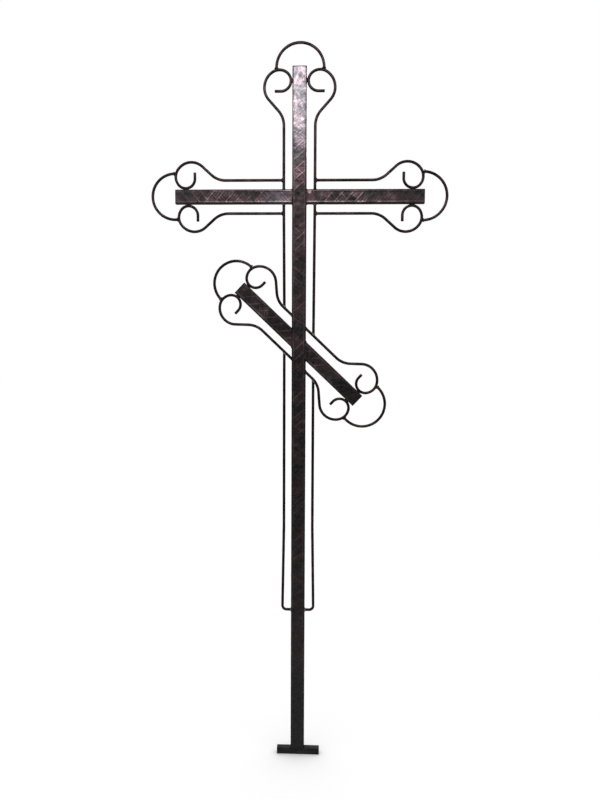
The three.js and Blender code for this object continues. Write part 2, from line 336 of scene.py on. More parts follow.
# The free ends of the bars. The left side, as seen from the front when looking out along the bar,
# is +1 and the right side is -1. A hand is how far a side's crest is out of its place along the
# bar, and an arc has its radius and how far its centre is beyond the bar's end and to the left.
SCROLLS = {
    "outer_radius": OUTER_RADIUS,
    "inner_radius": INNER_RADIUS,
    "tail_length": TAIL_LENGTH,
}
ARM = {
    **SCROLLS,
    "height": ARM_HEIGHT,
    "bar_length": ARM_LENGTH,
    "rod_offset": {1: ARM_ROD_OFFSET, -1: ARM_ROD_OFFSET},
    "rod_start": BESIDE_ROD,
    "crest_inset": ARM_CREST_INSET,
}
SLANT = {
    **SCROLLS,
    "height": SLANT_HEIGHT,
    "bar_length": SLANT_LENGTH,
    "rod_start": None,
    "tail_length": SLANT_TAIL_LENGTH,
    "crest_inset": SLANT_CREST_INSET,
}
ENDS = {
    "top": {
        **SCROLLS,
        "sides": {1: "left", -1: "right"},
        "height": ARM_HEIGHT,
        "direction": math.pi / 2,
        "bar_length": TOP_LENGTH,
        "rod_offset": {1: TOP_ROD_OFFSET, -1: TOP_ROD_OFFSET},
        "rod_start": BESIDE_UPRIGHT,
        "outer_radius": TOP_OUTER_RADIUS,
        "inner_radius": TOP_INNER_RADIUS,
        "crest_inset": TOP_CREST_INSET,
        "hand": {1: -3, -1: -2.5},
        "arc": (ARC_RADIUS + 1.4, ARM_ARC_BEYOND - 1.4, -1.4),
    },
    "left_arm": {
        **ARM,
        "sides": {1: "lower", -1: "upper"},
        "direction": math.pi,
        "hand": {1: -1, -1: 6.5},
        "arc": (ARC_RADIUS - 0.9, ARM_ARC_BEYOND + 2.5, -1.2),
    },
    "right_arm": {
        **ARM,
        "sides": {1: "upper", -1: "lower"},
        "direction": 0.0,
        "hand": {1: 2.5, -1: 0.5},
        "arc": (ARC_RADIUS + 1.9, ARM_ARC_BEYOND - 3.6, 1.9),
    },
    "slant_upper": {
        **SLANT,
        "sides": {1: "lower", -1: "upper"},
        "direction": math.pi - SLANT_ANGLE,
        "rod_offset": {1: SLANT_LOWER_ROD_OFFSET, -1: SLANT_UPPER_ROD_OFFSET},
        "hand": {1: 5, -1: 4.5},
        "arc": (ARC_RADIUS - 1.3, SLANT_ARC_BEYOND - 0.4, -2.5),
    },
    "slant_lower": {
        **SLANT,
        "sides": {1: "upper", -1: "lower"},
        "direction": -SLANT_ANGLE,
        "rod_offset": {1: SLANT_UPPER_ROD_OFFSET, -1: SLANT_LOWER_ROD_OFFSET},
        "hand": {1: 2.5, -1: -3},
        "arc": (ARC_RADIUS + 0.7, SLANT_ARC_BEYOND + 0.7, 2.7),
    },
}

# The frame of rods that belong to no end: u is to the right and v is up
WHOLE = {"height": 0.0, "direction": 0.0}


def placed(end, points):
    """Points in the cross's frame, from u outward, v to the left and y to the back at an end."""
    u, v, y = np.asarray(points, float).T
    cos, sin = math.cos(end["direction"]), math.sin(end["direction"])
    return np.stack([u * cos - v * sin, y, end["height"] + u * sin + v * cos], axis=1)


def noise(points, size, seed):
    """Smooth noise from -1 to 1 at each point, with bumps about as wide as the size."""
    scaled = np.asarray(points, float) / size + seed * NOISE_SEED_SHIFT
    cell = np.floor(scaled).astype(np.int64)
    part = scaled - cell
    part = part * part * (3 - 2 * part)
    total = np.zeros(len(scaled))
    for corner in np.ndindex(2, 2, 2):
        key = (cell + corner) @ NOISE_PRIMES + seed * NOISE_SEED_PRIME
        key = (key ^ (key >> 13)) * NOISE_MIX
        key = (key ^ (key >> 16)) % NOISE_LEVELS
        weight = np.prod(np.where(corner, part, 1 - part), axis=1)
        total += weight * (key / ((NOISE_LEVELS - 1) / 2) - 1)
    return total


def smooth(low, high, value):
    """A smooth step from 0 at the low value to 1 at the high one, which may be the smaller."""
    t = np.clip((value - low) / (high - low), 0, 1)
    return t * t * (3 - 2 * t)


class RodLine:
    """The centre line of a rod in the plane of an end, drawn by going straight and bending."""

    def __init__(self, u, v, heading):
        self.u = u
        self.v = v
        self.heading = heading
        self.stations = [(u, v, heading)]

    def go(self, length, way):
        self.u += length * math.cos(way)
        self.v += length * math.sin(way)
        self.stations.append((self.u, self.v, self.heading))

    def straight(self, length):
        steps = max(1, math.ceil(length / STRAIGHT_STEP))
        for _ in range(steps):
            self.go(length / steps, self.heading)
        return self

    def bend(self, radius, angle):
        steps = math.ceil(abs(angle) / BEND_STEP)
        turn = angle / steps
        for _ in range(steps):
            way = self.heading + turn / 2
            self.heading += turn
            self.go(2 * radius * math.sin(abs(turn) / 2), way)
        return self


def crest_offset(end):
    """How far from the middle of the bar the crests of its scrolls are."""
    return (
        TOUCHING
        + end["outer_radius"] * (1 - math.cos(AFTER_OUTER))
        + MIDDLE_RADIUS * (math.cos(AFTER_OUTER) - math.cos(AFTER_MIDDLE))
        + end["inner_radius"] * (1 + math.cos(AFTER_MIDDLE))
    )


def crest_at(end, side):
    """How far out along the bar a side's crest is."""
    return end["bar_length"] - end["crest_inset"] + end["hand"][side]


def away_from_upright(end):
    """The way from the side of the upright that an end's bar butts against, in the end's frame."""
    across = math.cos(end["direction"])
    return abs(across), -math.copysign(1, across) * math.sin(end["direction"])


def beside_upright(end, v):
    """How far out along its bar an end meets the upright's side, at a place across the bar."""
    across, along = away_from_upright(end)
    return (BESIDE_UPRIGHT - v * along) / across


def rod_start(end, side):
    """How far out along the bar a side's scroll rod starts."""
    if end["rod_start"] is None:
        return beside_upright(end, side * end["rod_offset"][side])
    return end["rod_start"]


def rod_foot(end, side):
    """The place where a side's scroll rod starts, and the normal of the face that it starts at."""
    cos, sin = math.cos(end["direction"]), math.sin(end["direction"])
    if end["rod_start"] is None:
        cos, sin = math.copysign(1, cos), 0
    foot = [[rod_start(end, side), side * end["rod_offset"][side], 0]]
    return placed(end, foot)[0], np.array([cos, 0, sin])


def scroll_line(end, side):
    """A rod from the upright along one side of a bar, over its crest and round to its tail."""
    offset = side * end["rod_offset"][side]
    start = rod_start(end, side)
    radii = SWAY_RADIUS + end["outer_radius"]
    rise = radii * (1 - math.cos(SWAY_ANGLE))
    diagonal = (crest_offset(end) - abs(offset) - rise) / math.sin(SWAY_ANGLE)
    run = radii * math.sin(SWAY_ANGLE) + diagonal * math.cos(SWAY_ANGLE)
    line = RodLine(start, offset, 0).straight(crest_at(end, side) - run - start)
    line.bend(SWAY_RADIUS, side * SWAY_ANGLE).straight(diagonal)
    line.bend(end["outer_radius"], -side * OUTER_ANGLE).bend(MIDDLE_RADIUS, -side * MIDDLE_ANGLE)
    line.bend(end["inner_radius"], -side * (1.5 * math.pi - AFTER_MIDDLE))
    return line.straight(end["tail_length"])


def arc_end(end, side):
    """How far an arc turns from the bar's direction until it meets a side's scroll."""
    radius, beyond, aside = end["arc"]
    spread = end["outer_radius"] - MIDDLE_RADIUS
    turn_u = crest_at(end, side) + spread * math.sin(AFTER_OUTER) - end["bar_length"] - beyond
    turn_v = crest_offset(end) - end["outer_radius"] + spread * math.cos(AFTER_OUTER)
    turn_v -= side * aside
    away = math.hypot(turn_u, turn_v)
    reach = MIDDLE_RADIUS + ROD / 2 + GAP
    tilt = (radius**2 + reach**2 - away**2) / (2 * radius * reach)
    clear = reach + ROD / 2 * abs(tilt)
    between = (radius**2 + away**2 - clear**2) / (2 * radius * away)
    return math.atan2(turn_v, turn_u) - math.acos(between)


def arc_line(end):
    radius, beyond, aside = end["arc"]
    first, last = arc_end(end, -1), arc_end(end, 1)
    u = end["bar_length"] + beyond + radius * math.cos(first)
    v = aside - radius * math.sin(first)
    return RodLine(u, v, math.pi / 2 - first).bend(radius, first + last)


def joined_rings(count, around, endless=False):
    """Faces from each ring of points to the next, and on to the first again if endless."""
    joints = count if endless else count - 1
    ring, step = np.meshgrid(np.arange(joints), np.arange(around), indexing="ij")
    ahead = (step + 1) % around
    here, there = ring * around, (ring + 1) % count * around
    corners = [here + step, here + ahead, there + ahead, there + step]
    return np.stack(corners, axis=-1).reshape(-1, 4).tolist()


def closed_rings(rings, first_centre, last_centre):
    """A closed body of rings of points, with a fan of faces over each end."""
    count, around = rings.shape[:2]
    points = np.vstack([rings.reshape(-1, 3), first_centre, last_centre])
    faces = joined_rings(count, around)
    last = (count - 1) * around
    for j in range(around):
        k = (j + 1) % around
        faces.append([k, j, count * around])
        faces.append([last + j, last + k, count * around + 1])
    return points, faces


def open_rings(rings, first_lining, last_lining):
    """A tube of rings of points, open at both ends and lined from one ring to another."""
    count, around = rings.shape[:2]
    points = np.vstack([rings.reshape(-1, 3), first_lining, last_lining])
    faces = joined_rings(count, around)
    last, first_in, last_in = (count - 1) * around, count * around, (count + 1) * around
    for j in range(around):
        k = (j + 1) % around
        faces.append([k, j, first_in + j, first_in + k])
        faces.append([last + j, last + k, last_in + k, last_in + j])
        faces.append([first_in + k, first_in + j, last_in + j, last_in + k])
    return points, faces


def add_mesh(name, points, faces, material, node=None, values=None):
    """A piece of the cross, facing outward, with values at its points for its material."""
    mesh = bpy.data.meshes.new(name)
    mesh.from_pydata((points * MM).tolist(), [], faces)
    mesh.update()
    mesh.calc_loop_triangles()
    corners = np.zeros(len(mesh.loop_triangles) * 3, int)
    mesh.loop_triangles.foreach_get("vertices", corners)
    a, b, c = points[corners].reshape(-1, 3, 3).transpose(1, 0, 2)
    if np.einsum("ij,ij->", a, np.cross(b, c)) < 0:
        mesh.flip_normals()
    mesh.shade_smooth()
    mesh.set_sharp_from_angle(angle=SHARP_ANGLE)
    for label, value in (values or {}).items():
        attribute = mesh.attributes.new(label, "FLOAT", "POINT")
        attribute.data.foreach_set("value", value.astype(np.float32))
    mesh.materials.append(material)
    piece = new_object(name, mesh)
    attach(piece, "root")
    if node:
        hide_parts(node)


def plane_cut(normal, offset):
    """Takes points along a rod to the plane with a normal and an offset along it."""

    def trim(points, along):
        return points + ((offset - points @ normal) / (along @ normal))[:, None] * along

    return trim


def saddle_cut(through, axis, inwards):
    """Takes points along a rod to the surface of the rod that it lands on."""

    def trim(points, along):
        apart = points - through
        apart = apart - (apart @ axis)[:, None] * axis
        way = along - (along @ axis) * axis
        half = apart @ way
        rest = (apart * apart).sum(axis=1) - (ROD / 2 + GAP) ** 2
        reach = np.sqrt(np.maximum(half**2 - way @ way * rest, 0))
        return points + ((inwards * reach - half) / (way @ way))[:, None] * along

    return trim


TO_BACK = np.array([[0.0, 1.0, 0.0]])


def circles(aside, over, sides):
    """The ways all round each place of a path, in steps from one way across it to another."""
    turn = (np.arange(sides) * 2 * math.pi / sides)[None, :, None]
    return np.cos(turn) * aside[:, None] + np.sin(turn) * over[:, None]


def lumpy_rings(path, out, radius, lumps, seed, scale=1):
    """Rings of points round each place of a path, with lumps of several sizes and heights."""
    rings = path[:, None] + out * radius[:, None, None]
    flat = rings.reshape(-1, 3)
    bumps = sum(high * noise(flat, size, seed + i) for i, (size, high) in enumerate(lumps))
    return rings + out * bumps.reshape(rings.shape[:2])[:, :, None] * scale


def add_rod(node, line, end, first_cut, last_cut, seed, free_tip=False):
    """A forged rod along a line. A free tip has its edge taken off."""
    stations = line.stations
    insets = [0.0] * len(stations)
    if free_tip:
        u, v, heading = stations[-1]
        near = (u - ROD_CHAMFER * math.cos(heading), v - ROD_CHAMFER * math.sin(heading), heading)
        stations = stations[:-1] + [near, stations[-1]]
        insets += [ROD_CHAMFER]
    u, v, heading = np.array(stations).T
    way = heading + end["direction"]
    centre = placed(end, np.stack([u, v, 0 * u], axis=1))
    along = np.stack([np.cos(way), 0 * way, np.sin(way)], axis=1)
    sideways = np.stack([-np.sin(way), 0 * way, np.cos(way)], axis=1)
    out = circles(sideways, TO_BACK, ROD_SIDES)
    rings = lumpy_rings(centre, out, ROD / 2 - np.array(insets), ROD_LUMPS, seed)
    centres = [centre[0], centre[-1]]
    for place, cut in ((0, first_cut), (-1, last_cut)):
        if cut:
            rings[place] = cut(rings[place], along[place])
            centres[place] = cut(centres[place][None], along[place])[0]
    points, faces = closed_rings(rings, *centres)
    add_mesh("forged_" + node, points, faces, ROD_METAL, node)


def rounded_section(width, depth, radius, face_steps, side_steps):
    """Points round a rounded rectangle, across and to the back, and which way each one faces."""
    half_v, half_y = width / 2 - radius, depth / 2 - radius
    corners = [(-half_v, -half_y), (half_v, -half_y), (half_v, half_y), (-half_v, half_y)]
    corners = np.array(corners)
    quarter = math.pi / 2
    points, normals = [], []
    for side in range(4):
        start, stop = corners[side], corners[(side + 1) % 4]
        steps = side_steps if side % 2 else face_steps
        angle = (side - 1) * quarter
        places = [(start + (stop - start) * i / steps, angle) for i in range(steps + 1)]
        places += [(stop, angle + quarter * i / CORNER_STEPS) for i in range(1, CORNER_STEPS)]
        for place, facing in places:
            normal = np.array([math.cos(facing), math.sin(facing)])
            points.append(place + radius * normal)
            normals.append(normal)
    return np.array(points), np.array(normals)


def section_at(end, u, section):
    """The points of a section at places along the bar of an end."""
    return placed(end, np.column_stack([np.broadcast_to(u, len(section)), section]))


def ridge(phase, count, half_width):
    """1 on each of the lines that come as often as the count while the phase grows by one."""
    apart = np.abs(phase * count - np.round(phase * count)) * RIDGE_PITCH / count
    return np.exp(-((apart / half_width) ** 2))


def patches(at, patch, seed):
    """Where a kind of line is clear, from 0 to 1."""
    size, low, high = patch
    return smooth(low, high, noise(at, size, seed))


def rolled_pattern(at, lean, seed):
    """The phases of the two families of ridges over a tube, and how clear each of them is."""
    u, v = at[:, 0], at[:, 1]
    drift = DRIFT * noise(at, DRIFT_SIZE, seed)
    along = (u + drift) * math.cos(RIDGE_LEAN) / RIDGE_PITCH
    across = lean * v * math.sin(RIDGE_LEAN) / RIDGE_PITCH
    return {
        "rising": along + across,
        "falling": along - across + 0.5,
        "strong": STRONG_LEAST + (1 - STRONG_LEAST) * patches(at, STRONG_PATCH, seed + 1),
        "weak": patches(at, WEAK_PATCH, seed + 2),
        "hatched": patches(at, HATCH_PATCH, seed + 3),
    }


def pattern_height(pattern, v, dents):
    """How far the pattern stands out of a wide face, with its panel sunk inside a border."""
    rising, falling = pattern["rising"], pattern["falling"]
    strong = pattern["strong"] * ridge(rising, 1, RIDGE_HALF)
    weak = pattern["weak"] * ridge(falling, 1, RIDGE_HALF)
    even = (np.floor(rising) + np.floor(falling)) % 2 == 0
    hatch = ridge(np.where(even, rising, falling), HATCHES, HATCH_HALF) * pattern["hatched"]
    lines = RIDGE_HEIGHT * np.maximum(strong, WEAK_SHARE * weak)
    lines = np.maximum(lines, HATCH_HEIGHT * hatch)
    inside = 1 - smooth(*PANEL_EDGE, np.abs(v))
    border = np.exp(-(((np.abs(v) - BORDER_AT) / BORDER_HALF) ** 2))
    return inside * (lines - PANEL_DEPTH + DENT_DEPTH * dents) + border * BORDER_HEIGHT


def faded(u, stop, fade):
    """1 along a bar, and less beyond the first of two distances from its outer end."""
    return 1 - FADED * smooth(stop - fade[0], stop - fade[1], u)


def add_tube(node, end, stop, lean, seed, tint_and_light, plain_below=None):
    """A worked tube with its true wall. Only the upright is plain below a height."""
    section, normals = rounded_section(TUBE_WIDTH, TUBE_DEPTH, TUBE_CORNER, FACE_STEPS, SIDE_STEPS)
    around = len(section)
    begin = np.full(around, ABOVE_GROUND_BAR)
    if plain_below is None:
        begin = beside_upright(end, section[:, 0])
    places = [float(begin.max())]
    while places[-1] < stop:
        plain = plain_below is not None and places[-1] < plain_below - PLAIN_MARGIN
        places.append(places[-1] + (PLAIN_STEP if plain else RELIEF_STEP))
    places[-1] = stop
    share = (np.array(places) - places[0]) / (stop - places[0])
    count = len(share)
    u = (begin + (stop - begin) * share[:, None]).ravel()
    v, y = np.tile(section, (count, 1)).T
    facing_v, facing_y = np.tile(normals, (count, 1)).T
    at = np.stack([u, v, y], axis=1)
    pattern = rolled_pattern(at, lean, seed)
    if plain_below is None:
        shown = faded(u, stop, BAR_FADE)
    else:
        first, last = plain_below + START_FADE[0], plain_below + START_FADE[1]
        shown = smooth(first, last, u + START_WANDER * noise(at, WANDER_SIZE, seed + 7))
        shown = shown * faded(u, stop, UPRIGHT_FADE)
        clear = smooth(stop - CLEAR_FROM[0], stop - CLEAR_FROM[1], u)
        clear = clear * (1 - smooth(stop - CLEAR_TO[0], stop - CLEAR_TO[1], u))
        pattern["strong"] = np.maximum(pattern["strong"], clear)
    shown = shown * smooth(*FLAT_FACING, np.abs(facing_y))
    uneven = smooth(0, LEVEL_START, u - np.tile(begin, count)) * smooth(0, LEVEL_STOP, stop - u)
    relief = pattern_height(pattern, v, noise(at, DENT_SIZE, seed + 5)) * shown
    height = (relief + SIDE_DENT * noise(at, SIDE_DENT_SIZE, seed + 9)) * uneven
    outer = placed(end, np.stack([u, v + facing_v * height, y + facing_y * height], axis=1))
    lining = section - TUBE_WALL * normals
    inner = [section_at(end, place, lining) for place in (begin, stop)]
    points, faces = open_rings(outer.reshape(count, around, 3), *inner)
    pattern["shown"] = shown
    pattern["across"] = v
    # The copper tone and polish along the bar, partly real rubbing and partly painted light and
    # shade
    pattern["tinted_and_lit"] = np.interp(u, *np.array(tint_and_light).T)
    on_lining = np.zeros(2 * around)
    values = {label: np.append(value, on_lining) for label, value in pattern.items()}
    add_mesh("worked_" + node, points, faces, TUBE_METAL, node, values)


def add_cap(node, end):
    """The plate that closes a bar."""
    section, normals = rounded_section(
        TUBE_WIDTH, TUBE_DEPTH, TUBE_CORNER, CAP_FACE_STEPS, SIDE_STEPS
    )
    rings = []
    for down, inset in CAP_LEVELS:
        rings.append(section_at(end, end["bar_length"] - down, section - inset * normals))
    points, faces = closed_rings(np.array(rings), rings[0].mean(axis=0), rings[-1].mean(axis=0))
    add_mesh("finished_" + node, points, faces, CAP_METAL, node)


class Shading:
    """Makes the nodes of one material, each joined to the values before it."""

    def __init__(self, name):
        self.material = bpy.data.materials.new(name)
        self.material.use_nodes = True
        tree = self.material.node_tree
        self.add, self.link = tree.nodes.new, tree.links.new
        self.shader = tree.nodes["Principled BSDF"]
        self.place = self.add("ShaderNodeTexCoord").outputs["Object"]

    def join(self, value, socket):
        if isinstance(value, bpy.types.NodeSocket):
            self.link(value, socket)
        elif value is not None:
            socket.default_value = value

    def math(self, operation, *values):
        node = self.add("ShaderNodeMath")
        node.operation = operation
        for value, socket in zip(values, node.inputs):
            self.join(value, socket)
        return node.outputs[0]

    def times(self, first, second):
        return self.math("MULTIPLY", first, second)

    def larger(self, first, second):
        return self.math("MAXIMUM", first, second)

    def noise(self, size, detail=3):
        """Noise with blotches of about a size."""
        node = self.add("ShaderNodeTexNoise")
        self.join(self.place, node.inputs["Vector"])
        node.inputs["Scale"].default_value = 1 / (size * MM)
        node.inputs["Detail"].default_value = detail
        node.inputs["Roughness"].default_value = 0.55
        return node.outputs["Fac"]

    def ramp(self, value, low, high, to_low=0.0, to_high=1.0):
        """A smooth ramp between two values, held at its ends."""
        node = self.add("ShaderNodeMapRange")
        node.interpolation_type = "SMOOTHSTEP"
        labels = ("Value", "From Min", "From Max", "To Min", "To Max")
        for given, label in zip((value, low, high, to_low, to_high), labels):
            self.join(given, node.inputs[label])
        return node.outputs["Result"]

    def mixed(self, factor, first, second):
        node = self.add("ShaderNodeMix")
        node.data_type = "RGBA"
        sockets = [socket for socket in node.inputs if socket.enabled]
        for value, socket in zip((factor, first, second), sockets):
            if isinstance(value, tuple):
                value = (*value, 1.0)
            self.join(value, socket)
        return next(socket for socket in node.outputs if socket.enabled)

    def attribute(self, label):
        node = self.add("ShaderNodeAttribute")
        node.attribute_name = label
        return node.outputs["Fac"]

    def bump(self, height, distance, below=None):
        node = self.add("ShaderNodeBump")
        node.inputs["Distance"].default_value = distance * MM
        self.join(height, node.inputs["Height"])
        self.join(below, node.inputs["Normal"])
        return node.outputs["Normal"]

    def lines(self, phase, count, half_width):
        """1 on each line of a family and 0 from a half width beside it."""
        apart = self.math("PINGPONG", self.times(phase, float(count)), 0.5)
        return self.ramp(apart, 0.0, half_width * count / RIDGE_PITCH, 1.0, 0.0)

    def finish(self, colour, roughness, normal, metallic):
        """The material. Its roughness is the size of blotches, and their least and most."""
        size, least, most = roughness
        roughness = self.ramp(self.noise(size), 0.3, 0.7, least, most)
        labels = ("Base Color", "Roughness", "Normal", "Metallic")
        for label, value in zip(labels, (colour, roughness, normal, metallic)):
            self.join(value, self.shader.inputs[label])
        return self.material


# Colours of the paint, of the copper tone and of the polish on it, which is partly a painted
# sheen, of the rods and of the weld, whose pink spot is partly a painted highlight
PAINT = (0.012, 0.0078, 0.009)
PAINT_WARM = (0.024, 0.012, 0.0135)
PAINT_GREY = (0.019, 0.0185, 0.019)
COPPER = (0.185, 0.1, 0.115)
COPPER_PALE = (0.42, 0.345, 0.36)
# Lilac of the polish at the top, partly a painted sheen
POLISH_SHEEN_LILAC = (0.235, 0.193, 0.213)
POLISH_SHEEN_LILAC_GREY = (0.1, 0.095, 0.108)
ROD_BLACK = (0.026, 0.0175, 0.019)
ROD_WARM = (0.064, 0.038, 0.042)
SATIN_BLACK = (0.006, 0.0055, 0.006)
# Pale pink of the weld spot, partly a painted highlight
SPOT_PINK_GLINT = (0.68, 0.39, 0.45)


def pattern_lines(s, rising, falling):
    """The ridges and the hatch of the rolled pattern, as the mesh has them."""
    strong = s.times(s.lines(rising, 1, 1.25 * RIDGE_HALF), s.attribute("strong"))
    weak = s.times(s.lines(falling, 1, 1.2 * RIDGE_HALF), s.attribute("weak"))
    cells = s.math("ADD", s.math("FLOOR", rising), s.math("FLOOR", falling))
    odd = s.math("FLOORED_MODULO", cells, 2.0)
    even = s.math("SUBTRACT", 1.0, odd)
    one_way = s.times(s.lines(rising, HATCHES, HATCH_HALF), even)
    other_way = s.times(s.lines(falling, HATCHES, HATCH_HALF), odd)
    hatch = s.times(s.math("ADD", one_way, other_way), s.attribute("hatched"))
    return s.larger(strong, s.larger(s.times(weak, 0.7), s.times(hatch, 0.5)))


def chance_of_cell(s, rising, falling):
    """A chance value from 0 to 1 for each field between the ridges."""
    chance = s.add("ShaderNodeTexWhiteNoise")
    chance.noise_dimensions = "2D"
    corner = s.add("ShaderNodeCombineXYZ")
    s.join(s.math("FLOOR", rising), corner.inputs["X"])
    s.join(s.math("FLOOR", falling), corner.inputs["Y"])
    s.join(corner.outputs[0], chance.inputs["Vector"])
    return chance.outputs["Value"]


def tube_metal():
    """Dark paint with a veil of copper tone on its fields, and paler metal along its lines, both
    fading towards the bottom as painted shade, with a lilac polish at the top that is partly a
    painted sheen.
    """
    s = Shading("tube_metal")
    rising, falling = s.attribute("rising"), s.attribute("falling")
    shown, tinted_and_lit = s.attribute("shown"), s.attribute("tinted_and_lit")
    patches = s.ramp(s.noise(34), 0.38, 0.64)
    grit = s.noise(4)
    across = s.math("ABSOLUTE", s.attribute("across"))
    lines = s.times(pattern_lines(s, rising, falling), s.ramp(across, *PANEL_EDGE, 1.0, 0.0))
    # The pale line along the border is partly a painted highlight where its slope catches the
    # light
    from_border = s.math("ABSOLUTE", s.math("SUBTRACT", across, float(BORDER_AT)))
    border = s.ramp(from_border, 0.0, 1.6 * BORDER_HALF, 1.0, 0.0)
    border = s.times(border, s.ramp(s.noise(26), 0.38, 0.6, 0.2, 0.9))
    # Above a tint of 1 an even lilac polish, partly a painted sheen where the metal mirrors the
    # light
    polish_and_sheen = s.ramp(tinted_and_lit, 1.0, 2.0)
    # Pale wear along the ridges and the border, stronger towards the top as painted light
    wear_and_light = s.times(s.larger(lines, border), shown)
    wear_and_light = s.times(wear_and_light, s.ramp(grit, 0.3, 0.6, 0.6, 1.0))
    wear_and_light = s.times(wear_and_light, s.ramp(tinted_and_lit, 0.0, 1.0, 0.12, 0.85))
    wear_and_light = s.times(wear_and_light, s.math("SUBTRACT", 1.0, s.times(polish_and_sheen, 0.45)))
    # The copper veil on the fields, fading towards the bottom as painted shade
    veil_and_light = s.times(patches, s.ramp(chance_of_cell(s, rising, falling), 0.2, 0.9, 0.55, 1.0))
    veil_and_light = s.times(s.times(veil_and_light, s.ramp(grit, 0.35, 0.65, 0.6, 1.0)), shown)
    veil_and_light = s.times(veil_and_light, s.times(s.math("MINIMUM", tinted_and_lit, 1.0), 0.55))
    paint = s.mixed(s.ramp(s.noise(15), 0.42, 0.62), PAINT, PAINT_WARM)
    plain = s.mixed(s.ramp(s.noise(9), 0.35, 0.65), SATIN_BLACK, PAINT_GREY)
    paint = s.mixed(s.ramp(s.noise(48), 0.4, 0.62), paint, plain)
    paint = s.mixed(s.ramp(shown, 0.0, 0.5), plain, paint)
    colour = s.mixed(veil_and_light, paint, COPPER)
    polish_and_sheen = s.times(polish_and_sheen, s.ramp(s.noise(20), 0.25, 0.6, 0.6, 1.0))
    # The lilac of the polish, partly a painted sheen
    polish_sheen_lilac = s.mixed(s.ramp(s.noise(26), 0.4, 0.6), POLISH_SHEEN_LILAC_GREY, POLISH_SHEEN_LILAC)
    colour = s.mixed(polish_and_sheen, colour, polish_sheen_lilac)
    colour = s.mixed(wear_and_light, colour, s.mixed(patches, COPPER, COPPER_PALE))
    normal = s.bump(s.noise(13, 2), 0.55, s.bump(grit, 0.04))
    metallic = s.ramp(s.larger(s.larger(veil_and_light, wear_and_light), polish_and_sheen), 0.0, 0.7, 0.5, 0.9)
    return s.finish(colour, (9, 0.22, 0.36), normal, metallic)


def rod_metal():
    """Dark, warm metal with a trace of the copper tone in patches."""
    s = Shading("rod_metal")
    patches = s.ramp(s.noise(34), 0.5, 0.72)
    colour = s.mixed(s.ramp(s.noise(16), 0.42, 0.66), ROD_BLACK, ROD_WARM)
    colour = s.mixed(s.times(patches, 0.2), colour, COPPER)
    normal = s.bump(s.noise(10, 2), 0.25, s.bump(s.noise(3), 0.04))
    return s.finish(colour, (7, 0.26, 0.4), normal, 0.97)


def plain_metal(name, rubbing):
    """Satin black metal with more or less of the copper tone rubbed over it."""
    s = Shading(name)
    grit = s.noise(3)
    colour = s.mixed(s.ramp(s.noise(12), 0.35, 0.7), SATIN_BLACK, PAINT_GREY)
    rubbed = s.times(s.ramp(s.noise(16), 0.45, 0.65), s.ramp(grit, 0.4, 0.65))
    colour = s.mixed(s.times(rubbed, rubbing), colour, COPPER)
    normal = s.bump(s.noise(9, 2), 0.4, s.bump(grit, 0.06))
    return s.finish(colour, (6, 0.34, 0.5), normal, 0.5)


def bright_weld_metal():
    """Weld whose lumps are rubbed to a pale grey pink."""
    s = Shading("bright_weld_metal")
    grit = s.noise(2)
    colour = s.mixed(s.ramp(s.noise(9), 0.35, 0.6), PAINT_GREY, COPPER)
    colour = s.mixed(s.ramp(grit, 0.35, 0.55), colour, COPPER_PALE)
    return s.finish(colour, (5, 0.3, 0.5), s.bump(grit, 0.06), 0.8)


def spot_glint_metal():
    """Weld in a pale pink that is partly a painted highlight: bright and mostly diffuse, so it
    shows light whatever it mirrors.
    """
    s = Shading("spot_glint_metal")
    grit = s.noise(3)
    colour = s.mixed(s.ramp(grit, 0.35, 0.6), COPPER, SPOT_PINK_GLINT)
    return s.finish(colour, (5, 0.35, 0.55), s.bump(grit, 0.06), 0.2)


TUBE_METAL = tube_metal()
ROD_METAL = rod_metal()
CAP_METAL = plain_metal("cap_metal", 0.5)
FOOT_METAL = plain_metal("foot_metal", 0.15)
WELD_METAL = plain_metal("weld_metal", 0.9)
BRIGHT_WELD_METAL = bright_weld_metal()
SPOT_GLINT_METAL = spot_glint_metal()


def add_bars():
    upright = {**ENDS["top"], "height": 0.0}
    stop = ARM_HEIGHT + TOP_LENGTH - CAP_THICKNESS - GAP
    # The upright's copper tone grows with height, partly as painted shade below and painted sheen
    # above
    tint_and_light = TINTS_AND_LIGHT["upright"]
    add_tube("upright", upright, stop, 1, UPRIGHT_SEED, tint_and_light, PATTERN_FROM)
    add_cap("top_cap", ENDS["top"])
    for index, name in enumerate(("left_arm", "right_arm", "slant_upper", "slant_lower")):
        end = ENDS[name]
        stop = end["bar_length"] - CAP_THICKNESS - GAP
        add_tube(name + "_bar", end, stop, -1, BAR_SEED + 20 * index, TINTS_AND_LIGHT[name])
        add_cap(name + "_cap", end)


def add_scrolls():
    for index, (name, end) in enumerate(ENDS.items()):
        for side, label in end["sides"].items():
            foot, normal = rod_foot(end, side)
            cut = plane_cut(normal, normal @ foot)
            seed = SCROLL_SEED + 10 * index + side
            add_rod(f"{name}_scroll_{label}", scroll_line(end, side), end, cut, None, seed, True)
        add_rod(name + "_arc", arc_line(end), end, None, None, ARC_SEED + index)


# The rods beside the upright: which way they are from it, their side and the bar they land on
BESIDE = ((-1, "left", "slant_upper"), (1, "right", "slant_lower"))


def slant_rod_at(end, out, way):
    """Where the rod over a slanted bar, or with -1 the one under it, passes the lower rods."""
    stations = np.array(scroll_line(end, out * way).stations)
    stations[:, 2] = 0
    points = placed(end, stations)
    order = np.argsort(points[:, 0])
    straight = order[np.abs(points[order, 0]) < STRAIGHT_REACH]
    x = out * LOWER_ROD_OFFSET
    return np.array([x, 0.0, np.interp(x, points[straight, 0], points[straight, 2])])


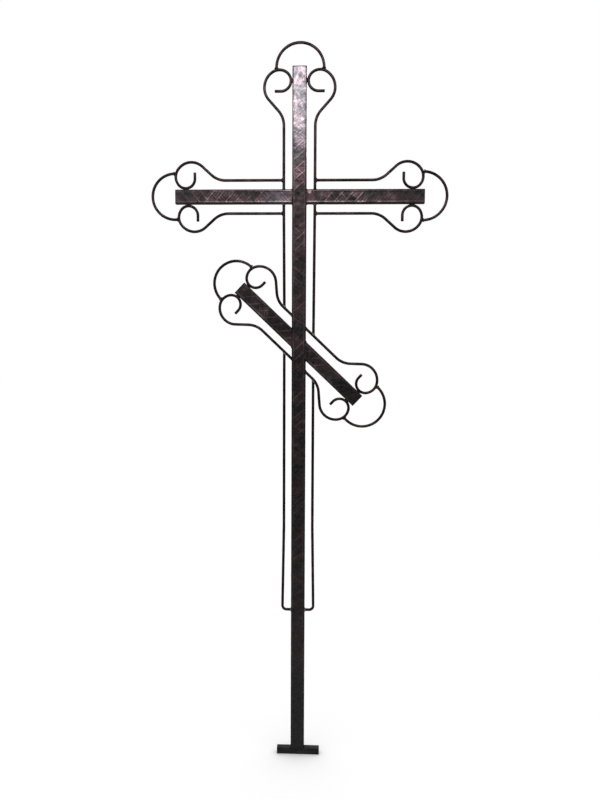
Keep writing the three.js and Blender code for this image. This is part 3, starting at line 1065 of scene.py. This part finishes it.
def landing(end, out, way):
    """Where a rod beside the upright meets a slant rod, and the cut that fits it there."""
    through = slant_rod_at(end, out, way)
    axis = np.array([math.cos(end["direction"]), 0, math.sin(end["direction"])])
    return through, saddle_cut(through, axis, way)


def middle_rod_line(out, foot):
    """A straight rod from its foot on a slant rod up to the arm."""
    top = ARM_HEIGHT - BESIDE_UPRIGHT
    lean = math.atan2(TOP_ROD_OFFSET - LOWER_ROD_OFFSET, top - foot[2])
    line = RodLine(foot[0], foot[2], math.pi / 2 - out * lean)
    return line.straight((top - foot[2]) / math.cos(lean))


def lower_rod_line(out, top):
    """A rod from the upright, out along its return, round the bend and up to a slant rod."""
    lean = math.atan2(FLARE, FLARE_LENGTH)
    widest = LOWER_ROD_OFFSET + FLARE - LOWER_BEND_RADIUS * math.cos(lean)
    line = RodLine(out * BESIDE_UPRIGHT, RETURN_HEIGHT, 0 if out > 0 else math.pi)
    line.straight(widest - BESIDE_UPRIGHT).bend(LOWER_BEND_RADIUS, out * (math.pi / 2 + lean))
    inwards = abs(line.u) - LOWER_ROD_OFFSET - FLARE_RADIUS * (1 - math.cos(lean))
    line.straight(inwards / math.sin(lean)).bend(FLARE_RADIUS, -out * lean)
    return line.straight(top[2] - line.v)


def add_rods_beside_upright():
    for out, hand, slant in BESIDE:
        foot, cut = landing(ENDS[slant], out, 1)
        under_arm = plane_cut(np.array([0.0, 0, 1]), ARM_HEIGHT - BESIDE_UPRIGHT)
        line, seed = middle_rod_line(out, foot), MIDDLE_ROD_SEED + out
        add_rod(hand + "_middle_rod", line, WHOLE, cut, under_arm, seed)
        top, cut = landing(ENDS[slant], out, -1)
        beside = plane_cut(np.array([float(out), 0, 0]), BESIDE_UPRIGHT)
        line, seed = lower_rod_line(out, top), LOWER_ROD_SEED + out
        add_rod(hand + "_lower_rod", line, WHOLE, beside, cut, seed)


def add_ground_bar():
    """An open piece of square tube with sawn ends, whose edges are taken off a little."""
    section, normals = rounded_section(
        GROUND_BAR_SIDE, GROUND_BAR_SIDE, GROUND_BAR_CORNER, FLAT_STEPS, FLAT_STEPS
    )
    half = GROUND_BAR_LENGTH / 2
    edge = np.array([0, SAWN_ROUNDING, SAWN_BEVEL])
    places = np.append(edge - half, np.linspace(4 - half, half - 4, 40))
    places = np.append(places, -places[2::-1]) + GROUND_BAR_ASIDE
    insets = np.zeros(len(places))
    insets[[0, -1]] = SAWN_BEVEL
    insets[[1, -2]] = SAWN_ROUNDING
    bar = {"height": GROUND_BAR_SIDE / 2, "direction": 0.0}
    rings = []
    for place, inset in zip(places, insets):
        ring = np.column_stack([np.full(len(section), place), section])
        dents = SIDE_DENT * noise(ring, SIDE_DENT_SIZE, GROUND_BAR_SEED) - SIDE_DENT - inset
        rings.append(section_at(bar, place, section + normals * dents[:, None]))
    lining = section - TUBE_WALL * normals
    inner = [section_at(bar, place, lining) for place in places[[0, -1]]]
    points, faces = open_rings(np.array(rings), *inner)
    add_mesh("finished_ground_bar", points, faces, FOOT_METAL, "ground_bar")


# Weld: the sides and steps of a run, how blunt its ends are, the sizes of its lumps with their
# heights as parts of its thickness, and how thick it is round a rod, in a seam and on a bar
BEAD_SIDES = 10
BEAD_STEP = 1.2
COLLAR_STEPS = 24
BEAD_TIP = 0.12
WELD_LUMPS = ((2.6, 0.143), (6, 0.077))
ROD_WELD = 4.0
SEAM_WELD = 2.6
BAR_WELD = 4.2

# Where a scroll rests on its bar, two runs go so far each way and are so far from the middle
REST_HALF = 6
REST_ASIDE = 2.2

# The weld under or over a slant rod, from its centre line
OFF_SLANT = 5.0

# Weld on a bar's narrow faces, short of their edges, and sunk in its wide ones, back from the end
EDGE_WELD_PROUD = 0.2
EDGE_WELD_SHORT = 1.5
FACE_WELD_SHORT = 2.5
FACE_WELD_SUNK = 1.6
FACE_WELD_BACK = 1.4

# The spot of weld on the right arm: where it is beside the upright, how far down from the arm's
# upper edge, how far its middle is sunk in the front, and its thickness
SPOT_REACH = (3, 14)
SPOT_DOWN = 7.5
SPOT_SUNK = 2.6
SPOT_WELD = 12.0


def bead(path, thickness, seed, ring):
    """A lumpy run of weld along a path of places. A ring joins its last place to its first."""
    ahead, behind = np.roll(path, -1, axis=0), np.roll(path, 1, axis=0)
    if not ring:
        ahead[-1], behind[0] = path[-1], path[0]
    along = ahead - behind
    along /= np.linalg.norm(along, axis=1)[:, None]
    across = np.where(np.abs(along[:, 1:2]) < 0.9, TO_BACK, [[1.0, 0, 0]])
    aside = np.cross(along, across)
    aside /= np.linalg.norm(aside, axis=1)[:, None]
    out = circles(aside, np.cross(along, aside), BEAD_SIDES)
    radius = np.full(len(path), thickness / 2)
    if not ring:
        radius *= np.sqrt(np.sin(np.linspace(BEAD_TIP, math.pi - BEAD_TIP, len(path))))
    rings = lumpy_rings(path, out, radius, WELD_LUMPS, seed, thickness)
    if ring:
        return rings.reshape(-1, 3), joined_rings(len(path), BEAD_SIDES, True)
    return closed_rings(rings, path[0], path[-1])


def collar(centre, normal, seed):
    """A ring of weld round the end of a rod that butts against something."""
    aside = np.array([[-normal[2], 0, normal[0]]])
    circle = circles(aside, TO_BACK, COLLAR_STEPS)[0]
    return bead(centre + circle * (ROD / 2 + 0.1), ROD_WELD, seed, True)


def run_between(ends, seed, thickness):
    """A straight run of weld between two places."""
    start, stop = np.array(ends, float)
    steps = max(4, math.ceil(np.linalg.norm(stop - start) / BEAD_STEP))
    share = np.linspace(0, 1, steps + 1)[:, None]
    return bead(start + (stop - start) * share, thickness, seed, False)


def add_welds(name, runs, material):
    """One piece of all the runs of weld in a list."""
    points, faces, count = [], [], 0
    for run_points, run_faces in runs:
        points.append(run_points)
        faces += [[corner + count for corner in face] for face in run_faces]
        count += len(run_points)
    add_mesh(name, np.vstack(points), faces, material)


def end_welds(name, end, seed):
    """Weld where the scroll rods start, where they rest on the bar and where they meet the arc."""
    runs = []
    for side in (1, -1):
        foot, normal = rod_foot(end, side)
        runs.append(collar(foot, normal, seed + 5 * side))
        stations = np.array(scroll_line(end, side).stations)
        on_bar = stations[stations[:, 0] <= end["bar_length"]]
        rest = on_bar[np.argmin(np.abs(on_bar[:, 1])), 0]
        for front in (-1, 1):
            v, y = side * (TUBE_WIDTH / 2 + GAP), front * REST_ASIDE
            ends = placed(end, [[rest - REST_HALF, v, y], [rest + REST_HALF, v, y]])
            runs.append(run_between(ends, seed + 11 * side + front, SEAM_WELD))
    arc = np.array(arc_line(end).stations)
    for place in (0, -1):
        u, v, way = arc[place] + [0, 0, end["direction"]]
        at = placed(end, [[u, v, 0]])[0]
        runs.append(collar(at, [math.cos(way), 0, math.sin(way)], seed + 31 + place))
    add_welds(name + "_welds", runs, WELD_METAL)


def bar_welds(name, end, seed):
    """Weld along the edges of a bar where it butts against the upright."""
    runs = []
    v, y = TUBE_WIDTH / 2 + EDGE_WELD_PROUD, TUBE_DEPTH / 2 - EDGE_WELD_SHORT
    for side in (1, -1):
        u = beside_upright(end, side * v)
        ends = placed(end, [[u, side * v, -y], [u, side * v, y]])
        runs.append(run_between(ends, seed, BAR_WELD))
    v, y = TUBE_WIDTH / 2 - FACE_WELD_SHORT, TUBE_DEPTH / 2 - FACE_WELD_SUNK
    back = FACE_WELD_BACK / away_from_upright(end)[0]
    for front in (-1, 1):
        ends = [[beside_upright(end, across) - back, across, front * y] for across in (v, -v)]
        runs.append(run_between(placed(end, ends), seed + 3, BAR_WELD))
    add_welds(name + "_bar_welds", runs, WELD_METAL)


def rod_welds():
    """Weld where the rods beside the upright land on the arm, the slant rods and the upright."""
    runs = []
    under_arm = ARM_HEIGHT - BESIDE_UPRIGHT
    for out, _, slant in BESIDE:
        end, seed = ENDS[slant], ROD_WELD_SEED + out
        runs.append(collar([out * TOP_ROD_OFFSET, 0, under_arm], [0, 0, 1], seed))
        for way in (1, -1):
            place = slant_rod_at(end, out, way) + [0, 0, way * OFF_SLANT]
            facing = [-math.sin(end["direction"]), 0, math.cos(end["direction"])]
            runs.append(collar(place, facing, seed + 10 + 6 * out + way))
        runs.append(collar([out * BESIDE_UPRIGHT, 0, RETURN_HEIGHT], [1, 0, 0], seed + 30))
    add_welds("rod_welds", runs, BRIGHT_WELD_METAL)


def weld_spot():
    """A blob of weld on the right arm."""
    y, z = SPOT_SUNK - TUBE_DEPTH / 2, ARM_HEIGHT + TUBE_WIDTH / 2 - SPOT_DOWN
    ends = [[BESIDE_UPRIGHT + reach, y, z] for reach in SPOT_REACH]
    add_welds("weld_spot", [run_between(ends, SPOT_SEED, SPOT_WELD)], SPOT_GLINT_METAL)


def foot_welds():
    """Weld across the front and the back of the upright's foot, and up to its two sides."""
    runs = []
    height = ABOVE_GROUND_BAR
    side_x, side_y = TUBE_WIDTH / 2 + 0.4, TUBE_DEPTH / 2 - 3
    face_x, face_y = TUBE_WIDTH / 2 - 2.6, TUBE_DEPTH / 2 - 0.6
    for side in (-1, 1):
        seed = FOOT_WELD_SEED + side
        x, y = side * side_x, side * face_y
        ends = [[x, -side_y, height], [x, side_y, height]]
        runs.append(run_between(ends, seed, BAR_WELD))
        ends = [[-face_x, y, height], [face_x, y, height]]
        runs.append(run_between(ends, seed + 10, SEAM_WELD))
    add_welds("foot_welds", runs, FOOT_METAL)


bpy.context.scene.view_settings.view_transform = "Standard"
add_camera()
add_world()
add_floor()
for name, settings in SOFTBOXES.items():
    add_softbox(name, *settings)
add_bars()
add_scrolls()
add_rods_beside_upright()
add_ground_bar()
for index, (name, end) in enumerate(ENDS.items()):
    end_welds(name, end, END_WELD_SEED + 50 * index)
    if name != "top":
        bar_welds(name, end, BAR_WELD_SEED + 10 * index)
rod_welds()
weld_spot()
foot_welds()
